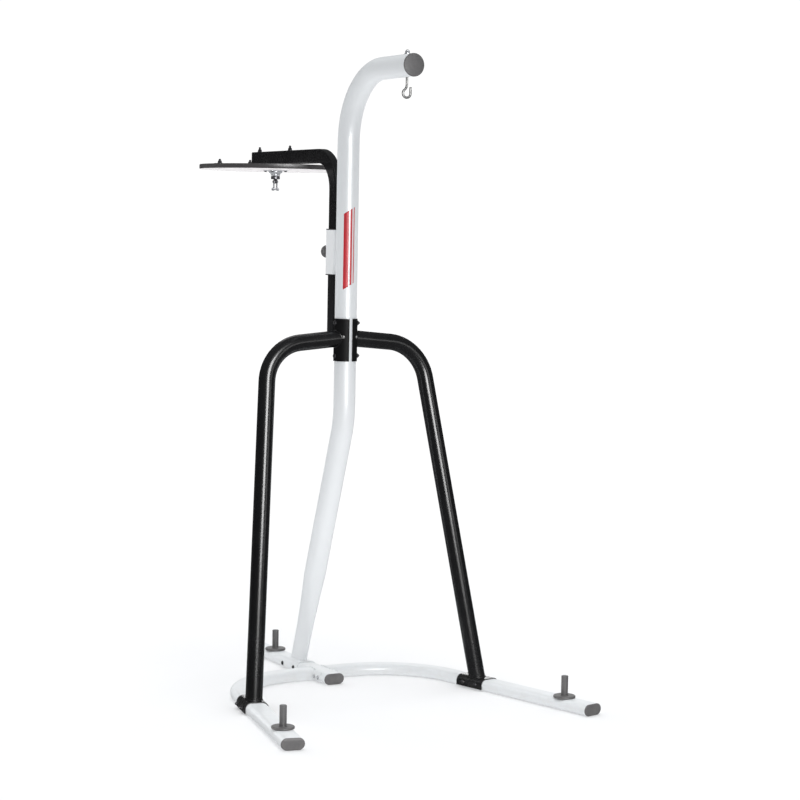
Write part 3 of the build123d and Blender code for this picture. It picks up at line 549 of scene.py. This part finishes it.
def base_end_welds():
    """The base tubes' inner ends on the curled brackets: over the top and
    down both edges, and clear of the floor."""
    half_width, half_height = 0.0381, 0.01905
    centre = half_width - half_height          # of each rounded edge, in Y
    radius = half_height + 0.0001

    def arc(middle, first_degrees):
        angles = [math.radians(first_degrees + 132 * i / 14) for i in range(15)]
        return [(middle + radius * math.cos(a), radius * math.sin(a),
                 math.cos(a), math.sin(a)) for a in angles]

    # y, z from the tube's axis, and the outward normal's y, z
    flat = [(centre - 2 * centre * i / 24, radius, 0.0, 1.0) for i in range(1, 24)]
    outline = arc(centre, -42) + flat + arc(-centre, 90)
    starts = [(Vector((-0.2, y, half_height + z)), Vector((0, ny, nz)))
              for y, z, ny, nz in outline]
    path = trace(surface("base_left_bracket", "tail_tube"), starts, (1, 0, 0))
    bm = bmesh.new()
    if len(path) > 8:          # too few hits would leave only a stub
        bead_pair(bm, path, radius=0.0022, closed=False, salt=6.0)
    add_piece("base_end_welds", bm, "white_coat", "stand")


def sleeve_welds():
    """Four upright seams beside the arm sleeve's middle, and a small ring."""
    seam_x, bottom, height, steps = 0.0134, 1.456, 0.128, 24
    near_y = math.sqrt(0.0382 ** 2 - 0.0132 ** 2)
    far_y = 0.0563
    bm = bmesh.new()
    for sx in (-1, 1):
        for y, lean_y in ((near_y, 1.0), (far_y, -1.0)):
            lean = Vector((sx, lean_y, 0)).normalized()
            path = [(Vector((sx * seam_x, y + POST_Y, bottom + height * i / steps)), lean)
                    for i in range(steps + 1)]
            bead(bm, path, radius=0.0019, closed=False, salt=8.0 + sx)
    ring_centre, ring_radius = Vector((0, 0.1197 + POST_Y, 1.520)), 0.0107
    path = []
    for a in circle(48):
        out = Vector((math.cos(a), 0, math.sin(a)))
        path.append((ring_centre + out * ring_radius, (out + Vector((0, 1, 0))).normalized()))
    bead(bm, path, radius=0.0014, closed=True, salt=10.0)
    # the welds share the sleeve's lit copy of the white coat, with painted light in its base
    # colour
    add_piece("sleeve_welds", bm, "sleeve_white", "stand")


# ===================================================== threads and stripes ==
def thread(bm, base, length):
    """A helical ridge going up a bolt's end, tapered in and out."""
    radius, pitch, depth, sunk = 0.004, 0.00125, 0.00042, 0.0002
    root = pitch * 0.44        # half widths of the ridge
    crest = root * 0.18
    sides = 20
    axis = Vector((0, 0, 1))
    u = axis.orthogonal().normalized()
    v = axis.cross(u)
    total = int(length / pitch * sides)
    rings = []
    for i in range(total + 1):
        a = 2 * math.pi * i / sides
        height = depth * min(1.0, min(i, total - i) / (sides * 0.5))
        out = u * math.cos(a) + v * math.sin(a)
        centre = Vector(base) + axis * (length * i / total)
        inner, outer = radius - sunk, radius + height
        profile = ((inner, -root), (outer, -crest), (outer, crest), (inner, root))
        rings.append([bm.verts.new(centre + out * r + axis * z) for r, z in profile])
    skin(bm, rings)


def bolt_threads():
    bm = bmesh.new()
    for y in (0.450, 0.700):
        thread(bm, (0, y + POST_Y, 1.8892), length=0.0072)
    for x in (-0.218, -0.097, 0.097, 0.218):
        thread(bm, (x, 0.580 + POST_Y, 1.8392), length=0.0050)
    add_piece("board_bolt_threads", bm, "black_fastener", "board_arm",
              smooth=False)


def accent_stripes():
    """Red vinyl stripes on the front of the post, ends cut on a slant."""
    vinyl("red_vinyl")
    shell_radii = POST_RADIUS + 0.00002, POST_RADIUS + 0.00018
    facing = math.radians(-14.0)               # turned from -Y towards -X
    bottom, top, slant = 1.405, 1.665, 0.62
    # left and right edge of each stripe, measured round the post
    stripes = ((-0.0215, -0.0035), (0.0015, 0.0085), (0.0135, 0.0170))
    bm = bmesh.new()

    def sheet(radius, left, right, across, rows):
        grid = []
        for j in range(rows + 1):
            row = []
            for i in range(across + 1):
                w = left + (right - left) * i / across
                a = facing + w / POST_RADIUS
                z = bottom + (top - bottom) * j / rows + w * slant
                row.append(bm.verts.new((radius * math.sin(a),
                                         POST_Y - radius * math.cos(a), z)))
            grid.append(row)
        return grid

    for left, right in stripes:
        nu, nz = max(3, int((right - left) / 0.0012)), 70
        inner, outer = [sheet(radius, left, right, nu, nz) for radius in shell_radii]
        for j in range(nz):
            for i in range(nu):
                bm.faces.new((outer[j][i], outer[j][i + 1],
                              outer[j + 1][i + 1], outer[j + 1][i]))
                bm.faces.new((inner[j][i], inner[j + 1][i],
                              inner[j + 1][i + 1], inner[j][i + 1]))
            bm.faces.new((inner[j][0], outer[j][0], outer[j + 1][0], inner[j + 1][0]))
            bm.faces.new((inner[j][nu], inner[j + 1][nu], outer[j + 1][nu], outer[j][nu]))
        for i in range(nu):
            bm.faces.new((inner[0][i], inner[0][i + 1], outer[0][i + 1], outer[0][i]))
            bm.faces.new((inner[nz][i], outer[nz][i], outer[nz][i + 1], inner[nz][i + 1]))
    add_piece("post_accent_stripes", bm, "red_vinyl", "stand")


leg_top_welds()
leg_foot_welds()
post_foot_weld()
base_end_welds()
sleeve_welds()
bolt_threads()
accent_stripes()


# ========================================================= floor and world ==
WHITE = (1, 1, 1)
BACKDROP = 1.05                # brightness of the white room seen by the camera
FLOOR_LIFT = 0.105             # floor glow the camera sees
FLOOR_BOUNCE = 0.62            # floor glow that lights matt surfaces
FADE = {"low": 1.2, "high": 3.6}               # distances where the floor fades out


def floor_paint(name):
    m = Mat(name)
    tone = m.mix(m.noise(scale=1.3, detail=4), (0.80, 0.80, 0.805), (0.815, 0.815, 0.82))
    ray = m.new("ShaderNodeLightPath").outputs
    # tubes mirror a dim floor, and the eye sees a bright one
    tone = m.mix(ray["Is Glossy Ray"], tone, (0.14, 0.14, 0.145))
    tone = m.mix(ray["Is Diffuse Ray"], tone, (0.60, 0.60, 0.605))
    m.set("Base Color", tone)
    m.set("Roughness", m.mixf(m.noise(scale=3.0, detail=3), low=0.72, high=0.84))
    m.set("Specular IOR Level", 0.1)
    m.set("Normal", m.bump(m.noise(scale=90.0, detail=3), distance=0.0002, strength=0.3))
    m.set("Emission Color", WHITE)
    lift = m.times(ray["Is Camera Ray"], FLOOR_LIFT)
    near = m.new("ShaderNodeVectorMath", {0: m.place, 1: (0.0, 0.3, 0.0)},
                 operation="DISTANCE")
    glow = m.map_range(near.outputs["Value"], **FADE, to_low=FLOOR_BOUNCE, to_high=0.0)
    m.set("Emission Strength", m.plus(lift, m.times(ray["Is Diffuse Ray"], glow)))
    # far away the floor runs into the white wall
    distance = m.new("ShaderNodeVectorMath", {0: m.place}, operation="LENGTH")
    far = m.map_range(distance.outputs["Value"], **FADE, interpolation_type="SMOOTHSTEP")
    white = m.new("ShaderNodeEmission", {0: WHITE, 1: BACKDROP}).outputs[0]
    fade = m.mix_shader(m.times(far, ray["Is Camera Ray"]), m.bsdf.outputs[0], white)
    # seen from below the floor lets the camera through
    backface = m.new("ShaderNodeNewGeometry").outputs["Backfacing"]
    clear = m.new("ShaderNodeBsdfTransparent").outputs[0]
    m.link(m.mix_shader(backface, fade, clear), m.out.inputs[0])


def studio_floor():
    half, z = 60.0, -0.0006
    bm = bmesh.new()
    corners = ((-half, -half), (half, -half), (half, half), (-half, half))
    bm.faces.new([bm.verts.new((x, y, z)) for x, y in corners])
    ob = add_mesh("studio_floor", bm)
    floor_paint("studio_floor_paint")
    ob.data.materials.append(MATS["studio_floor_paint"])
    ob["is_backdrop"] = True


def studio_world():
    """A white room for the camera, soft even light for matt surfaces and a
    dimmer room for reflections, so that coated tubes keep their dark tone."""
    world = bpy.data.worlds.new("studio_world")
    world.use_nodes = True
    n = Nodes(world.node_tree)
    out = n.new("ShaderNodeOutputWorld")
    direction = n.new("ShaderNodeTexCoord").outputs["Generated"]
    up = n.new("ShaderNodeSeparateXYZ", {0: direction}).outputs["Z"]

    def sky(side, top):
        strength = n.map_range(up, 0.0, 0.95, to_low=side, to_high=top)
        return n.new("ShaderNodeBackground", {0: (0.975, 0.988, 1.0), 1: strength}).outputs[0]

    ray = n.new("ShaderNodeLightPath").outputs
    room = n.mix_shader(ray["Is Glossy Ray"], sky(side=0.16, top=1.22),
                        sky(side=0.03, top=0.13))
    seen = n.new("ShaderNodeBackground", {0: WHITE, 1: BACKDROP}).outputs[0]
    n.link(n.mix_shader(ray["Is Camera Ray"], room, seen), out.inputs[0])
    SCENE.world = world


studio_floor()
studio_world()


# ================================================================== lights ==
DARK_MATS = {"black_coat", "clamp_black", "black_plastic", "edging_plastic"}


def around(azimuth, distance, z):
    """A place round the post; azimuth in degrees from -Y towards +X."""
    a = math.radians(azimuth)
    return (math.sin(a) * distance, -math.cos(a) * distance + POST_Y, z)


def on_post(z):
    return (0.0, POST_Y, z)


def softbox(name, place, target, size, power):
    light = bpy.data.lights.new(name, "AREA")
    light.shape = "RECTANGLE"
    light.size, light.size_y = size
    light.energy = power
    ob = add_object(name, light)
    ob.location = place
    ob.rotation_mode = "QUATERNION"
    ob.rotation_quaternion = (Vector(target) - Vector(place)).to_track_quat("-Z", "Y")
    ob.visible_camera = False
    return ob


def only_for(light, dark, only="", skip="-"):
    """Limits a light to the dark coated pieces or to all the others, and
    among them to those with `only` as a material or in their name. Pieces
    with `skip` in their name are left out."""
    group = bpy.data.collections.new(light.name + "_receivers")
    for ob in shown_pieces():
        names = {plain_name(slot) for slot in ob.material_slots if slot.material}
        wanted = only in names or only in ob.name
        if skip not in ob.name and bool(names & DARK_MATS) == dark and wanted:
            group.objects.link(ob)
    light.light_linking.receiver_collection = group


# the rays each kind of light is hidden from
MIRROR, SOFT = "visible_diffuse", "visible_glossy"
DARK, PALE = {"dark": True}, {"dark": False}

# name, kind, place, target, (width, height), watts, pieces lit (None for all)
LIGHTS = (
    ("mirror_high", MIRROR, around(-9, 6.0, 3.72), on_post(1.8), (2.5, 3.5), 545,
     {**DARK, "skip": "right_leg"}),
    ("mirror_high_right", MIRROR, around(-9, 6.0, 3.14), on_post(1.5), (2.5, 3.5), 545,
     {**DARK, "only": "right_leg"}),
    ("mirror_tall", MIRROR, around(-9, 6.0, 2.25), on_post(1.6), (2.9, 3.5), 470, PALE),
    ("front_soft", SOFT, around(-12, 5.5, 2.2), on_post(1.1), (1.6, 2.4), 22, None),
    ("back_left", SOFT, around(-150, 4.2, 1.9), on_post(1.1), (1.6, 3.0), 34, None),
    ("back_right", SOFT, around(100, 4.2, 1.9), on_post(1.1), (1.4, 3.0), 22, None),
    ("top", SOFT, (0.0, -0.2, 12.0), (0.0, 0.0, 0.0), (6.0, 6.0), 290, None),
    # light thrown up by the white floor, for the pale pieces only
    ("floor_front", SOFT, around(-20, 1.25, 0.03), around(-20, 1.25, 1.0), (1.7, 1.7), 10.0,
     PALE),
    ("mirror_low_back", MIRROR, around(152, 6.0, 1.35), on_post(0.05), (3.0, 1.0), 30, DARK),
    ("mirror_right", MIRROR, around(30, 6.0, 2.0), on_post(1.3), (1.6, 1.2), 14, DARK),
    ("mirror_back", MIRROR, around(152, 6.0, 1.0), on_post(0.6), (9.0, 3.0), 75, PALE),
    ("mirror_cap", MIRROR, around(-2, 3.2, 0.9), (0.0, -0.6, 1.9), (1.2, 1.4), 28,
     {**PALE, "only": "arm_end_cap"}),
    ("floor_board", SOFT, (0.0, 0.55, 0.03), (0.0, 0.55, 1.0), (1.2, 1.2), 6.0,
     {**PALE, "only": "board_laminate"}),
)

for name, hidden_from, place, target, size, power, receivers in LIGHTS:
    lamp = softbox(name, place, target, size, power)
    setattr(lamp, hidden_from, False)
    if receivers:
        only_for(lamp, **receivers)


# ================================================================== camera ==
def camera():
    """In front of the stand and to its left, looking slightly down."""
    azimuth = -28.09
    yaw, pitch, roll = math.radians(-1.502), math.radians(4.557), math.radians(1.073)
    heading = math.radians(azimuth) + yaw
    forward = Vector((-math.sin(heading) * math.cos(pitch),
                      math.cos(heading) * math.cos(pitch), -math.sin(pitch)))
    right = forward.cross(Vector((0, 0, 1))).normalized()
    up = right.cross(forward)
    x = right * math.cos(roll) + up * math.sin(roll)
    y = up * math.cos(roll) - right * math.sin(roll)
    turn = Matrix((x, y, -forward)).transposed().to_4x4()
    data = bpy.data.cameras.new("camera")
    data.sensor_width = 36.0
    data.lens = 95.7231
    data.clip_start, data.clip_end = 0.05, 200.0
    ob = add_object("camera", data)
    ob.matrix_world = Matrix.Translation(around(azimuth, distance=7.3583, z=1.5984)) @ turn
    SCENE.camera = ob


camera()
SCENE.view_settings.view_transform = "Standard"
SCENE.view_settings.look = "None"
SCENE.view_settings.exposure = 0.0
SCENE.view_settings.gamma = 1.0
